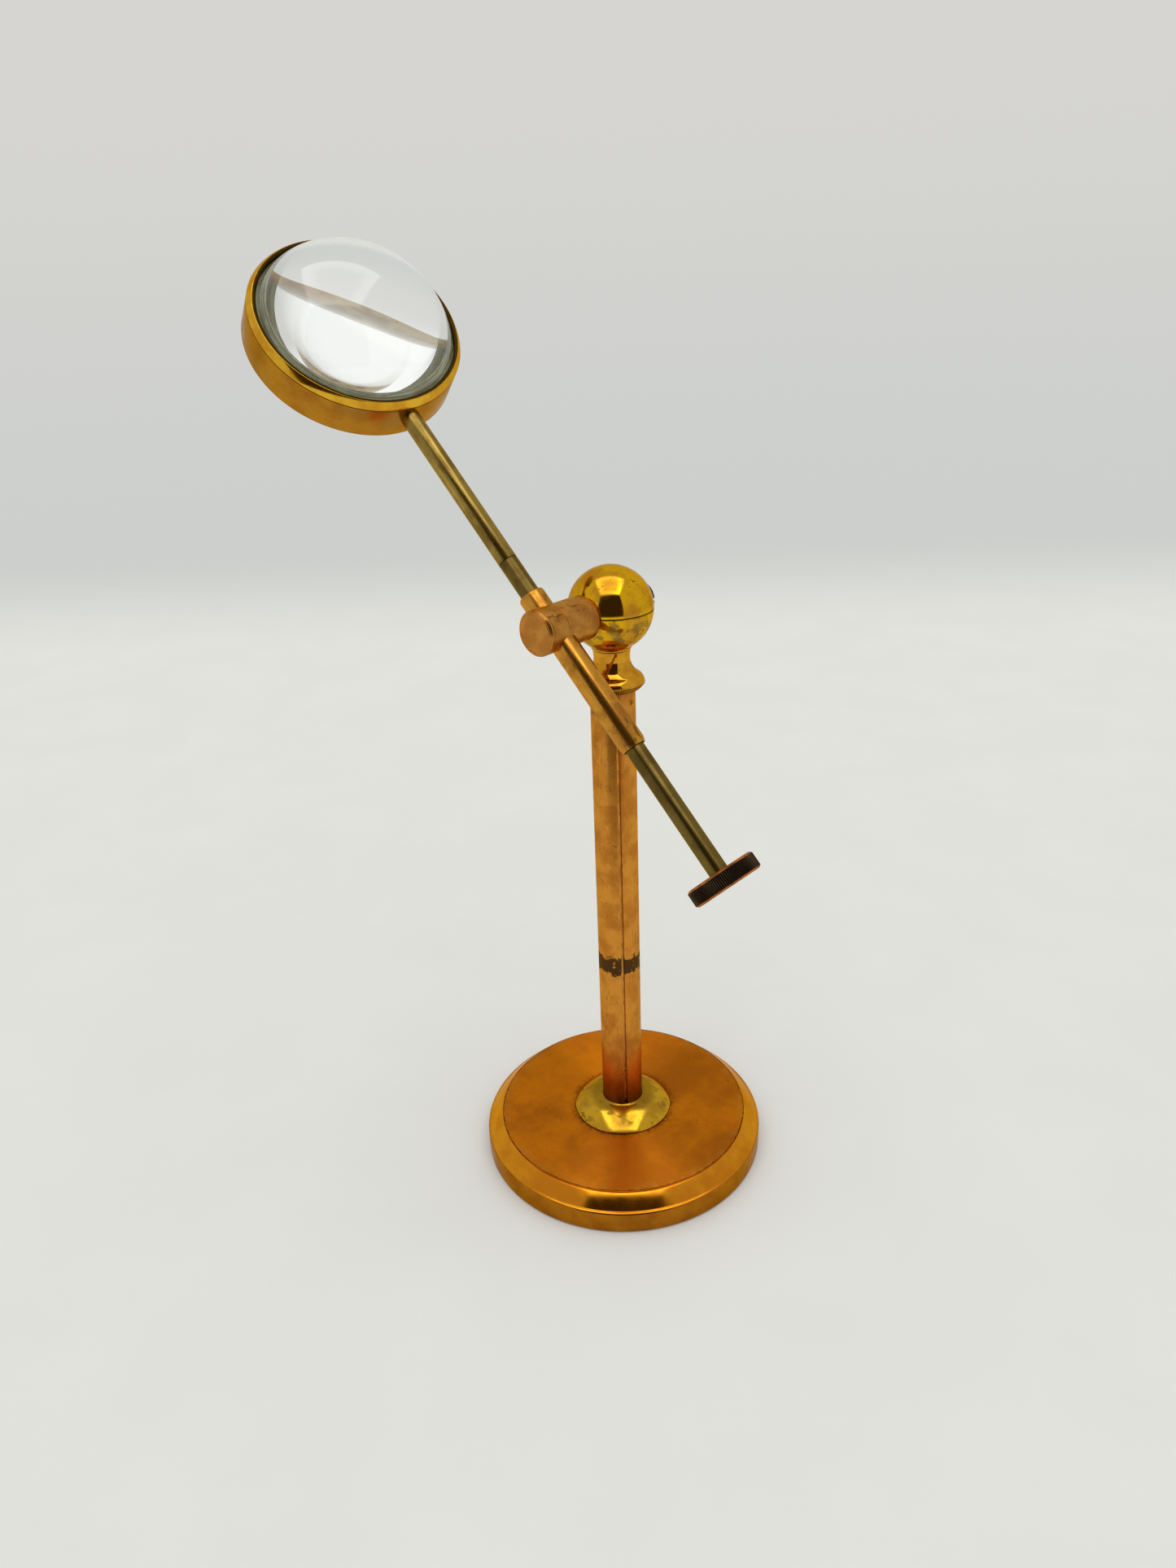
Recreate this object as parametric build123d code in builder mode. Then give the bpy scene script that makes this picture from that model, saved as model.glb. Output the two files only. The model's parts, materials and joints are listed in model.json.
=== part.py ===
from build123d import *
import os
from math import asin, cos, pi, radians, sin, sqrt

# A bull's-eye condenser: a thick plano-convex lens in a brass cell, carried by a rod that
# slides and turns in a sprung sleeve. The sleeve tilts on a ball-shaped joint at the top of a
# telescopic pillar with a round turned base. Millimetres, +Z up, and the origin is at the
# centre of the base's underside. The joint's cross shaft lies along Y, with the sleeve on its
# -Y end, and the rod rises towards -X with the lens at its upper end.

# Driving dimensions: base and pillar
base_radius = 44.45
plateau_radius = 39.5
plateau_height = 11.6
skirt_height = 7.4
skirt_round = 0.9
relief_inner = 12.0
relief_outer = 39.0
relief_depth = 1.4
collar_radius = 15.6
collar_top = 16.8
pillar_radius = 6.35
pillar_wall = 1.0
pillar_top = 156.8
slit_width = 0.9
slit_azimuth = 51.0
foot_socket = 8.0
foot_stub = 5.0
foot_plug_height = 21.9
cove_sag = 0.08
foot_thread_radius = 4.0

# Driving dimensions: riser and head
slide_fit = 0.05
riser_wall = 0.9
riser_bottom = 30.0
riser_tube_top = 153.0
plug_bottom = 142.0
spindle_radius = 3.0
spindle_top = 164.3
screw_radius = 1.25
screw_bottom = 158.5
screw_head_radius = 2.5
washer_radius = 3.9
washer_thickness = 0.6
ball_radius = 11.7
ball_height = 179.0
neck_bottom = 157.0
neck_waist = 5.0
neck_bead = 5.6
neck_floor = 164.2
rim_radius = 9.0
rim_height = 1.5
rim_teeth = 96
tooth_depth = 0.4
spigot_radius = 4.0
spigot_bottom = 166.8
seam_chamfer = 0.22
facet_distance = 10.7
pin_radius = 1.0
pin_offset = 7.2
pin_reach = 3.8

# Driving dimensions: arm
shaft_radius = 2.5
shaft_boss_end = 18.0
shaft_nut_end = 14.1
washer_gap = 0.1
spring_thickness = 0.8
nut_thickness = 2.2
nut_slot = 0.9
boss_screw_radius = 0.6
boss_screw_offset = 4.75
boss_screw_depth = 5.0
arm_offset = 22.4
boss_radius = 6.0
boss_near_end = 11.2
boss_far_end = 29.2
cap_thickness = 1.3
nut_radius = 4.4
sleeve_radius = 3.55
sleeve_bore = 3.05
sleeve_upper = 10.4
sleeve_lower = 37.3
rod_elevation = 45.0

# Driving dimensions: rod, knob and lens
rod_radius = 2.6
rod_thread = 1.6
knob_near_face = 74.5
knob_thickness = 4.7
knob_radius = 9.5
knob_teeth = 104
knob_tooth_depth = 0.3
knob_recess_radius = 2.7
knob_recess_depth = 0.9
lens_distance = 97.5
lens_roll = 9.9
lens_radius = 26.4
lens_back = 2.0
lens_shoulder = 4.0
lens_apex = 21.6
cell_radius = 28.4
cell_back = -6.1
cell_front = 3.6
cell_bore = 26.0
shelf_radius = 20.6
shelf_top = 1.9
shelf_thickness = 1.2
thread_radius = 27.4
bezel_bore = 26.75
bezel_lip = 26.15
bezel_top = 5.6

# Derived places and directions
slope = radians(rod_elevation)
roll = radians(lens_roll)
rod_dir = Vector(-cos(slope), 0, sin(slope))
rise_dir = Vector(sin(slope), 0, cos(slope))
lens_dir = rise_dir * cos(roll) + Vector(0, -1, 0) * sin(roll)
ball_centre = Vector(0, 0, ball_height)
crossing = Vector(0, -arm_offset, ball_height)
lens_centre = crossing + rod_dir * lens_distance
rod_axis = Axis(crossing, rod_dir)
lens_axis = Axis(lens_centre, lens_dir)
shaft_axis = Axis(ball_centre, Vector(0, -1, 0))
rod_plane = Plane(origin=crossing, x_dir=rise_dir, z_dir=rod_dir)
rod_section = Plane(origin=crossing, x_dir=rise_dir, z_dir=rise_dir.cross(rod_dir))
lens_section = Plane(origin=lens_centre, x_dir=rod_dir, z_dir=rod_dir.cross(lens_dir))
shaft_section = Plane(origin=ball_centre, x_dir=(1, 0, 0), z_dir=(0, 0, -1))
pillar_bore = pillar_radius - pillar_wall
riser_radius = pillar_bore - slide_fit
riser_bore = riser_radius - riser_wall

parts = []


def shaft_plane(distance):
    """A plane across the cross shaft, this far from the ball's centre towards the sleeve."""
    return Plane(origin=(0, -distance, ball_height), x_dir=(1, 0, 0), z_dir=(0, -1, 0))


def keep(builder, name):
    """Labels a finished piece and remembers it for writing."""
    builder.part.label = name
    parts.append(builder.part)


# ---------------------------------------------------------------- stand
# Base: a heavy turned disc with a flat top, a shallow cove and a rounded skirt edge. A ring
# of relief underneath leaves an outer foot ring and a centre pad, both at z = 0.
with BuildPart() as base:
    cove_foot = (base_radius - skirt_round, skirt_height)
    cove_head = (plateau_radius + 0.35, plateau_height - 0.45)
    cove_middle = ((cove_foot[0] + cove_head[0]) / 2 - cove_sag,
                   (cove_foot[1] + cove_head[1]) / 2 - cove_sag)
    with BuildSketch(Plane.XZ):
        with BuildLine():
            Polyline((0, foot_socket - foot_stub), (0, 0), (relief_inner, 0), (relief_inner, relief_depth),
                     (relief_outer, relief_depth), (relief_outer, 0), (base_radius - 0.6, 0),
                     (base_radius, 0.6), (base_radius, skirt_height - skirt_round))
            RadiusArc((base_radius, skirt_height - skirt_round),
                      cove_foot, -skirt_round)
            ThreePointArc(cove_foot, cove_middle, cove_head)
            Polyline(cove_head, (plateau_radius, cove_head[1]), (plateau_radius, plateau_height),
                     (pillar_radius, plateau_height), (pillar_radius, foot_socket),
                     (foot_thread_radius, foot_socket), (foot_thread_radius, foot_socket - foot_stub),
                     (0, foot_socket - foot_stub))
        make_face()
    revolve(axis=Axis.Z)
keep(base, "base")

# Foot plug: its stub screws into the base, and the pillar tube is soldered over its body.
with BuildPart() as foot_plug:
    with Locations((0, 0, foot_socket - foot_stub)):
        Cylinder(foot_thread_radius, foot_stub, align=(Align.CENTER, Align.CENTER, Align.MIN))
    with Locations((0, 0, foot_socket)):
        Cylinder(pillar_bore, foot_plug_height, align=(Align.CENTER, Align.CENTER, Align.MIN))
    chamfer(foot_plug.faces().sort_by(Axis.Z)[-1].edges(), 0.5)
keep(foot_plug, "foot_plug")

# Pillar collar: a loose polished ring that flares out over the base round the pillar's foot.
with BuildPart() as pillar_collar:
    with BuildSketch(Plane.XZ):
        with BuildLine():
            Polyline((7.5, collar_top - 0.35), (7.15, collar_top), (pillar_radius, collar_top),
                     (pillar_radius, plateau_height), (collar_radius, plateau_height),
                     (collar_radius, plateau_height + 0.55),
                     (collar_radius - 0.25, plateau_height + 0.8))
            ThreePointArc((collar_radius - 0.25, plateau_height + 0.8), (10.7, 13.7),
                          (7.5, collar_top - 0.35))
        make_face()
    revolve(axis=Axis.Z)
keep(pillar_collar, "pillar_collar")

# Pillar tube: slit down one side from the collar to the top, so that it springs on the riser.
with BuildPart() as pillar_tube:
    with BuildSketch(Plane.XY.offset(foot_socket)):
        Circle(pillar_radius)
        Circle(pillar_bore, mode=Mode.SUBTRACT)
    extrude(amount=pillar_top - foot_socket)
    chamfer(pillar_tube.edges().filter_by(GeomType.CIRCLE).sort_by(SortBy.RADIUS)[-1:], 0.15)
    slit_dir = Vector(sin(radians(slit_azimuth)), -cos(radians(slit_azimuth)), 0)
    with BuildSketch(Plane(origin=(0, 0, collar_top), x_dir=slit_dir, z_dir=(0, 0, 1))):
        with Locations((pillar_radius, 0)):
            Rectangle(2 * pillar_wall + 1, slit_width)
    extrude(amount=pillar_top, mode=Mode.SUBTRACT)
keep(pillar_tube, "pillar_tube")

# ---------------------------------------------------------------- riser
# Inner tube: slides in the pillar tube and carries the head up and down.
with BuildPart() as inner_tube:
    with BuildSketch(Plane.XY.offset(riser_bottom)):
        Circle(riser_radius)
        Circle(riser_bore, mode=Mode.SUBTRACT)
    extrude(amount=riser_tube_top - riser_bottom)
keep(inner_tube, "inner_tube")

# Riser plug: closes the inner tube, and its spindle is the head's swivel pin.
with BuildPart() as riser_plug:
    with BuildSketch(Plane.XZ):
        with BuildLine():
            Polyline((0, plug_bottom), (riser_bore, plug_bottom), (riser_bore, riser_tube_top),
                     (riser_radius, riser_tube_top), (riser_radius, neck_bottom - 0.1),
                     (spindle_radius, neck_bottom - 0.1), (spindle_radius, spindle_top),
                     (screw_radius, spindle_top), (screw_radius, screw_bottom),
                     (0, screw_bottom), (0, plug_bottom))
        make_face()
    revolve(axis=Axis.Z)
keep(riser_plug, "riser_plug")

# Spindle washer and screw: they hold the neck down on the spindle, and leave it free to turn.
with BuildPart() as spindle_washer:
    with BuildSketch(Plane.XY.offset(spindle_top)):
        Circle(washer_radius)
        Circle(screw_radius, mode=Mode.SUBTRACT)
    extrude(amount=washer_thickness)
keep(spindle_washer, "spindle_washer")

with BuildPart() as spindle_screw:
    head_bottom = spindle_top + washer_thickness
    with BuildSketch(Plane.XY.offset(screw_bottom)):
        Circle(screw_radius)
    extrude(amount=head_bottom - screw_bottom)
    with BuildSketch(Plane.XY.offset(head_bottom)):
        Circle(screw_head_radius)
    extrude(amount=1.3)
    with BuildSketch(spindle_screw.faces().sort_by(Axis.Z)[-1]):
        Rectangle(2 * screw_head_radius + 1, 0.6)
    extrude(amount=-0.6, mode=Mode.SUBTRACT)
keep(spindle_screw, "spindle_screw")

# ---------------------------------------------------------------- head
# Neck: bell-shaped, with a milled rim at the foot, a narrow waist, and a bead round the cup
# that the ball sits in. The milling is a serrated disc that follows the rim's underside.
with BuildPart() as neck:
    with BuildSketch(Plane.XZ):
        with BuildLine():
            rim_core = rim_radius - 0.8
            rim_top = neck_bottom + rim_height
            Polyline((spindle_radius + slide_fit, neck_floor),
                     (spindle_radius + slide_fit, neck_bottom), (rim_core - 0.6, neck_bottom),
                     (rim_core, neck_bottom + 0.3), (rim_core, rim_top), (rim_radius, rim_top))
            ThreePointArc((rim_radius, rim_top), (8.6, 159.9), (7.4, 160.75))
            ThreePointArc((7.4, 160.75), (5.5, 162.7), (neck_waist, 165.2))
            ThreePointArc((neck_waist, 165.2), (5.1, 167.0), (5.35, 168.0))
            ThreePointArc((5.35, 168.0), (neck_bead + 0.25, 168.45), (neck_bead, 168.95))
            socket_radius = spigot_radius + slide_fit
            Polyline((neck_bead, 168.95), (neck_bead, 170.4), (socket_radius, 170.4),
                     (socket_radius, neck_floor), (spindle_radius + slide_fit, neck_floor))
        make_face()
    revolve(axis=Axis.Z)
    with BuildPart(mode=Mode.PRIVATE) as milling:
        with BuildSketch(Plane.XY.offset(neck_bottom)):
            with BuildLine():
                outline = []
                for tooth in range(rim_teeth):
                    for turn, depth in ((0, 0), (0.32, 0), (0.66, tooth_depth)):
                        angle = 2 * pi * (tooth + turn) / rim_teeth
                        radius = rim_radius - depth
                        outline.append((radius * cos(angle), radius * sin(angle)))
                Polyline(*outline, close=True)
            make_face()
            Circle(rim_core - 0.1, mode=Mode.SUBTRACT)
        extrude(amount=rim_height)
        with BuildSketch(Plane.XZ):
            with BuildLine():
                Polyline((rim_core - 1.2, neck_bottom), (rim_core - 0.15, neck_bottom),
                         (rim_radius, neck_bottom + 1.1), (rim_radius, rim_top),
                         (rim_core - 1.2, rim_top), close=True)
            make_face()
        revolve(axis=Axis.Z, mode=Mode.INTERSECT)
    add(milling.part)
    with Locations(ball_centre):
        Sphere(ball_radius, mode=Mode.SUBTRACT)
keep(neck, "neck")

# Ball: two halves that meet at the shaft's level. Each side has a flat facet for the shaft's
# washers, the lower half has a spigot that is pressed into the neck, and both have a bore.
with BuildPart() as whole_ball:
    with Locations(ball_centre):
        Sphere(ball_radius)
    with BuildSketch(shaft_plane(facet_distance)):
        Circle(ball_radius)
    extrude(amount=2, mode=Mode.SUBTRACT)
    with BuildSketch(shaft_plane(-facet_distance)):
        Circle(ball_radius)
    extrude(amount=-2, mode=Mode.SUBTRACT)
    with BuildSketch(shaft_plane(-ball_radius)):
        Circle(shaft_radius + slide_fit)
    extrude(amount=2 * ball_radius, mode=Mode.SUBTRACT)
    with BuildSketch(Plane.XY.offset(ball_height - pin_reach - 0.2)):
        with Locations((pin_offset, 0), (-pin_offset, 0)):
            Circle(pin_radius)
    extrude(amount=2 * pin_reach + 0.4, mode=Mode.SUBTRACT)

with BuildPart() as seam_groove:
    with BuildSketch(Plane.XZ):
        with BuildLine():
            Polyline((ball_radius - seam_chamfer - 0.15, ball_height),
                     (ball_radius + 1, ball_height - seam_chamfer - 0.5),
                     (ball_radius + 1, ball_height + seam_chamfer + 0.5), close=True)
        make_face()
    revolve(axis=Axis.Z)

with BuildPart() as ball_upper:
    add(whole_ball.part)
    add(seam_groove.part, mode=Mode.SUBTRACT)
    split(bisect_by=Plane.XY.offset(ball_height), keep=Keep.TOP)
keep(ball_upper, "ball_upper")

with BuildPart() as ball_lower:
    add(whole_ball.part)
    add(seam_groove.part, mode=Mode.SUBTRACT)
    split(bisect_by=Plane.XY.offset(ball_height), keep=Keep.BOTTOM)
    with BuildSketch(Plane.XY.offset(spigot_bottom)):
        Circle(spigot_radius)
    extrude(amount=3)
keep(ball_lower, "ball_lower")

# Ball pins: two steel dowels across the seam keep the halves in line.
with BuildPart() as ball_pins:
    with BuildSketch(Plane.XY.offset(ball_height - pin_reach)):
        with Locations((pin_offset, 0), (-pin_offset, 0)):
            Circle(pin_radius)
    extrude(amount=2 * pin_reach)
keep(ball_pins, "ball_pins")

# ---------------------------------------------------------------- arm
# Cross shaft: a draw bolt through the ball, soldered into the boss and threaded for the nut.
with BuildPart() as cross_shaft:
    with BuildSketch(shaft_plane(-shaft_nut_end)):
        Circle(shaft_radius)
    extrude(amount=shaft_nut_end + shaft_boss_end)
    chamfer(cross_shaft.faces().sort_by(Axis.Y)[-1].edges(), 0.4)
keep(cross_shaft, "cross_shaft")

# Thrust washer: sits in the gap between the ball's near facet and the boss.
with BuildPart() as thrust_washer:
    with BuildSketch(shaft_plane(facet_distance + washer_gap)):
        Circle(washer_radius)
        Circle(shaft_radius, mode=Mode.SUBTRACT)
    extrude(amount=boss_near_end - facet_distance - washer_gap)
keep(thrust_washer, "thrust_washer")

# Boss: two halves that meet on the sleeve's axis and close round the sleeve. A small screw on
# each side of the sleeve runs through the outer half into the inner one.
with BuildPart() as sleeve_hole:
    with BuildSketch(rod_plane.offset(-2 * boss_radius)):
        Circle(sleeve_radius)
    extrude(amount=4 * boss_radius)

outer_end = boss_far_end - cap_thickness
screw_planes = [Plane(origin=crossing + rise_dir * (side * boss_screw_offset),
                      x_dir=(1, 0, 0), z_dir=(0, -1, 0)).offset(-boss_screw_depth)
                for side in (1, -1)]
with BuildPart() as boss_screws:
    for plane in screw_planes:
        with BuildSketch(plane):
            Circle(boss_screw_radius)
        extrude(amount=outer_end - arm_offset + boss_screw_depth)

with BuildPart() as boss_inner:
    with BuildSketch(shaft_plane(boss_near_end)):
        Circle(boss_radius)
    extrude(amount=arm_offset - boss_near_end)
    fillet(boss_inner.faces().sort_by(Axis.Y)[-1].edges(), 0.3)
    chamfer(boss_inner.faces().sort_by(Axis.Y)[0].edges(), 0.12)
    with BuildSketch(shaft_plane(boss_near_end)):
        Circle(shaft_radius)
    extrude(amount=shaft_boss_end - boss_near_end, mode=Mode.SUBTRACT)
    add(sleeve_hole.part, mode=Mode.SUBTRACT)
    add(boss_screws.part, mode=Mode.SUBTRACT)
keep(boss_inner, "boss_inner")

with BuildPart() as boss_outer:
    with BuildSketch(shaft_plane(arm_offset)):
        Circle(boss_radius)
    extrude(amount=outer_end - arm_offset)
    chamfer(boss_outer.edges().filter_by(GeomType.CIRCLE), 0.12)
    add(sleeve_hole.part, mode=Mode.SUBTRACT)
    add(boss_screws.part, mode=Mode.SUBTRACT)
keep(boss_outer, "boss_outer")
keep(boss_screws, "boss_screws")

# Boss cap: a bevelled disc with a turned line, fixed over the outer half's end.
with BuildPart() as boss_cap:
    with BuildSketch(shaft_section):
        with BuildLine():
            Polyline((0, outer_end), (boss_radius - 0.15, outer_end), (boss_radius, outer_end + 0.15),
                     (boss_radius, boss_far_end - 0.7), (boss_radius - 0.6, boss_far_end - 0.1),
                     (boss_radius - 0.95, boss_far_end - 0.1),
                     (boss_radius - 0.95, boss_far_end), (0, boss_far_end), close=True)
        make_face()
    revolve(axis=shaft_axis)
keep(boss_cap, "boss_cap")

# Spring washer and draw nut: on the far side they press the shaft and ball together.
nut_face = facet_distance + washer_gap + spring_thickness
with BuildPart() as spring_washer:
    with BuildSketch(shaft_plane(-facet_distance - washer_gap)):
        Circle(nut_radius - 0.2)
        Circle(shaft_radius, mode=Mode.SUBTRACT)
    extrude(amount=-spring_thickness)
keep(spring_washer, "spring_washer")

with BuildPart() as draw_nut:
    with BuildSketch(shaft_plane(-nut_face)):
        Circle(nut_radius)
        Circle(shaft_radius, mode=Mode.SUBTRACT)
    extrude(amount=-nut_thickness)
    chamfer(draw_nut.edges().group_by(Axis.Y)[-1].sort_by(SortBy.RADIUS)[-1:], 0.4)
    with BuildSketch(shaft_plane(-nut_face - nut_thickness)):
        Rectangle(2 * nut_radius + 1, nut_slot)
    extrude(amount=nut_slot, mode=Mode.SUBTRACT)
keep(draw_nut, "draw_nut")

# Sleeve: the long tube that the rod runs through.
with BuildPart() as sleeve:
    with BuildSketch(rod_section):
        with BuildLine():
            Polyline((sleeve_bore, -sleeve_lower), (sleeve_radius - 0.35, -sleeve_lower),
                     (sleeve_radius, -sleeve_lower + 1.4), (sleeve_radius, sleeve_upper - 0.5),
                     (sleeve_radius - 0.3, sleeve_upper), (sleeve_bore, sleeve_upper), close=True)
        make_face()
    revolve(axis=rod_axis)
keep(sleeve, "sleeve")

# ---------------------------------------------------------------- liner
# Spring liner: a slit tube in the sleeve that grips the rod and turns with it.
with BuildPart() as spring_liner:
    with BuildSketch(rod_plane.offset(-sleeve_lower + 0.6)):
        Circle(sleeve_bore - slide_fit)
        Circle(rod_radius + slide_fit, mode=Mode.SUBTRACT)
        with Locations((-rod_radius, 0)):
            Rectangle(2, 0.5, mode=Mode.SUBTRACT)
    extrude(amount=sleeve_upper + sleeve_lower - 1.2)
keep(spring_liner, "spring_liner")

# ---------------------------------------------------------------- rod and lens
# Rod: a plain round rod that screws into the cell's wall, with the knob at its lower end.
rod_top = lens_distance - sqrt(cell_radius ** 2 - rod_radius ** 2) + 0.75
with BuildPart() as rod:
    with BuildSketch(rod_plane.offset(-knob_near_face)):
        Circle(rod_radius)
    extrude(amount=knob_near_face + rod_top)
    with BuildSketch(rod_plane.offset(-knob_near_face - knob_thickness + knob_recess_depth)):
        Circle(rod_thread)
    extrude(amount=knob_thickness - knob_recess_depth)
keep(rod, "rod")

# Knob: a thick disc with a straight-milled edge and a small counterbore round the rod's end.
with BuildPart() as knob:
    knob_far_face = knob_near_face + knob_thickness
    with BuildSketch(rod_plane.offset(-knob_far_face)):
        with BuildLine():
            outline = []
            for tooth in range(knob_teeth):
                for turn, depth in ((0, 0), (0.3, 0), (0.65, knob_tooth_depth)):
                    angle = 2 * pi * (tooth + turn) / knob_teeth
                    radius = knob_radius - depth
                    outline.append((radius * cos(angle), radius * sin(angle)))
            Polyline(*outline, close=True)
        make_face()
    extrude(amount=knob_thickness)
    with BuildSketch(rod_section):
        with BuildLine():
            Polyline((0, -knob_far_face), (knob_radius - 0.75, -knob_far_face),
                     (knob_radius, -knob_far_face + 0.6), (knob_radius, -knob_near_face - 0.6),
                     (knob_radius - 0.75, -knob_near_face), (0, -knob_near_face), close=True)
        make_face()
    revolve(axis=rod_axis, mode=Mode.INTERSECT)
    with BuildSketch(rod_plane.offset(-knob_far_face)):
        Circle(rod_thread)
    extrude(amount=knob_thickness, mode=Mode.SUBTRACT)
    with BuildSketch(rod_plane.offset(-knob_far_face)):
        Circle(knob_recess_radius)
    extrude(amount=knob_recess_depth, mode=Mode.SUBTRACT)
keep(knob, "knob")

# Lens cell: a short wide tube with an inner shelf that the lens's flat back rests on, and a
# thread above the shelf for the bezel ring.
with BuildPart() as lens_cell:
    with BuildSketch(lens_section):
        with BuildLine():
            shelf_bottom = shelf_top - shelf_thickness
            Polyline((cell_bore, cell_back), (cell_radius - 0.5, cell_back),
                     (cell_radius, cell_back + 0.5), (cell_radius, cell_front - 0.12),
                     (cell_radius - 0.12, cell_front), (thread_radius, cell_front),
                     (thread_radius, shelf_top), (shelf_radius, shelf_top),
                     (shelf_radius, shelf_bottom), (cell_bore, shelf_bottom), close=True)
        make_face()
    revolve(axis=lens_axis)
    with BuildSketch(rod_plane.offset(rod_top - 5)):
        Circle(rod_radius)
    extrude(amount=5, mode=Mode.SUBTRACT)
keep(lens_cell, "lens_cell")

# Bezel ring: screws into the cell's mouth, and its narrow lip holds the lens in. Outside it
# slopes in from the cell's wall to the lip.
with BuildPart() as bezel_ring:
    slope_foot = (cell_radius, cell_front + 0.4)
    slope_head = (cell_radius - 1.35, bezel_top)
    with BuildSketch(lens_section):
        with BuildLine():
            Polyline((bezel_bore, shelf_top), (thread_radius, shelf_top),
                     (thread_radius, cell_front), (cell_radius - 0.15, cell_front),
                     (cell_radius, cell_front + 0.15), slope_foot)
            ThreePointArc(slope_foot, (cell_radius - 0.57, bezel_top - 0.73), slope_head)
            Polyline(slope_head, (bezel_lip + 0.35, bezel_top), (bezel_lip, bezel_top - 0.25),
                     (bezel_lip, bezel_top - 0.4), (bezel_bore, bezel_top - 1.05),
                     (bezel_bore, shelf_top))
        make_face()
    revolve(axis=lens_axis)
keep(bezel_ring, "bezel_ring")

# Lens: plano-convex, flat at the back, with a short ground edge and a deep dome. The rim of
# the flat that lies over the cell's shelf is ground too.
with BuildPart() as lens:
    dome_rise = lens_apex - lens_shoulder
    dome_radius = (lens_radius ** 2 + dome_rise ** 2) / (2 * dome_rise)
    half_angle = asin(lens_radius / dome_radius) / 2
    dome_centre = lens_apex - dome_radius
    with BuildSketch(lens_section):
        with BuildLine():
            Polyline((0, lens_apex), (0, lens_back), (lens_radius, lens_back),
                     (lens_radius, lens_shoulder))
            ThreePointArc((lens_radius, lens_shoulder),
                          (dome_radius * sin(half_angle), dome_centre + dome_radius * cos(half_angle)),
                          (0, lens_apex))
        make_face()
    revolve(axis=lens_axis)
keep(lens, "lens")

os.makedirs("parts", exist_ok=True)
for piece in parts:
    export_step(piece, f"parts/{piece.label}.step")
    print(piece.label, "volume", round(piece.volume, 2), "solids", len(piece.solids()))
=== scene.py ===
import json
from math import atan2, cos, pi, radians, sin, sqrt, tan

import bmesh
import bpy
from mathutils import Matrix, Vector


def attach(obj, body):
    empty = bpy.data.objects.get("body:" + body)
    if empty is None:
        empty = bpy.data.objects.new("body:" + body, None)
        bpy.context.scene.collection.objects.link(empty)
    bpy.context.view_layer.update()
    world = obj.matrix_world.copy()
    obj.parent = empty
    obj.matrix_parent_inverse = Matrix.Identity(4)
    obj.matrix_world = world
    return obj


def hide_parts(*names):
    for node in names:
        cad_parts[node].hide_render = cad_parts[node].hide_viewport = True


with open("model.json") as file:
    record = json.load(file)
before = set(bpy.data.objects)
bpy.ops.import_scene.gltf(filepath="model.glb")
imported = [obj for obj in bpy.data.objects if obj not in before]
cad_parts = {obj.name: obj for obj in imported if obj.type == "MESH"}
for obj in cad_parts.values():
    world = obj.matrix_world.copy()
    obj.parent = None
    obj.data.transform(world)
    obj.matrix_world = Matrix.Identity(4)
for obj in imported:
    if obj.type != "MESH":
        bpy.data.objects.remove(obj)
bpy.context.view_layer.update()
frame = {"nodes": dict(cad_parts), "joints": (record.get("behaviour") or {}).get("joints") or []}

# A brass bull's-eye condenser, turned pieces round three axes: the pillar's, the cross shaft's
# and the rod's, with the lens square to its own. Metres, in the row frame. Every turned piece is
# made round its own local Z, so that the materials can follow the lathe's marks.

MM = 0.001
TAU = 2 * pi


# ---------------------------------------------------------------- places, from the frame
def joint(name):
    return next(j for j in frame["joints"] if j["name"] == name)


def axis_place(origin, direction, side):
    """The matrix of a local frame with Z along direction and X as near side as it can be."""
    z = Vector(direction).normalized()
    x = (Vector(side) - z * Vector(side).dot(z)).normalized()
    place = Matrix((x, z.cross(x), z)).transposed().to_4x4()
    place.translation = Vector(origin)
    return place


def reach(node, place):
    """(lowest, highest, widest) of a CAD node along and round a local frame's Z."""
    inverse = place.inverted()
    points = [inverse @ v.co for v in frame["nodes"][node].data.vertices]
    heights = [p.z for p in points]
    return min(heights), max(heights), max(p.xy.length for p in points)


UP = Vector((0, 0, 1))
ball_centre = Vector(joint("arm_tilt")["pos_m"])
crossing = Vector(joint("rod_roll")["pos_m"])
rod_dir = Vector(joint("rod_roll")["axis"]).normalized()
rise_dir = Vector((-rod_dir.x, 0, rod_dir.z)).normalized()
shaft_dir = (crossing - ball_centre).normalized()
lens_roll = radians(9.9)
lens_distance = 97.5 * MM
lens_dir = rise_dir * cos(lens_roll) + shaft_dir * sin(lens_roll)
lens_centre = crossing + rod_dir * lens_distance

pillar_axis = axis_place((0, 0, 0), UP, (1, 0, 0))
shaft_axis = axis_place(ball_centre, shaft_dir, (1, 0, 0))
rod_axis = axis_place(crossing, rod_dir, rise_dir)
lens_axis = axis_place(lens_centre, lens_dir, rod_dir)

_, base_top, base_radius = reach("base", pillar_axis)
_, collar_top, collar_radius = reach("pillar_collar", pillar_axis)
tube_bottom, tube_top, tube_radius = reach("pillar_tube", pillar_axis)
neck_bottom, _, rim_radius = reach("neck", pillar_axis)
_, _, ball_radius = reach("ball_lower", pillar_axis)
boss_near, boss_split, boss_radius = reach("boss_inner", shaft_axis)
_, boss_end, _ = reach("boss_outer", shaft_axis)
_, cap_end, _ = reach("boss_cap", shaft_axis)
sleeve_low, sleeve_high, sleeve_radius = reach("sleeve", rod_axis)
_, rod_high, rod_radius = reach("rod", rod_axis)
knob_far, knob_near, knob_radius = reach("knob", rod_axis)
cell_back, cell_front, cell_radius = reach("lens_cell", lens_axis)
_, bezel_top, _ = reach("bezel_ring", lens_axis)
lens_back, lens_apex, lens_radius = reach("lens", lens_axis)

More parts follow.
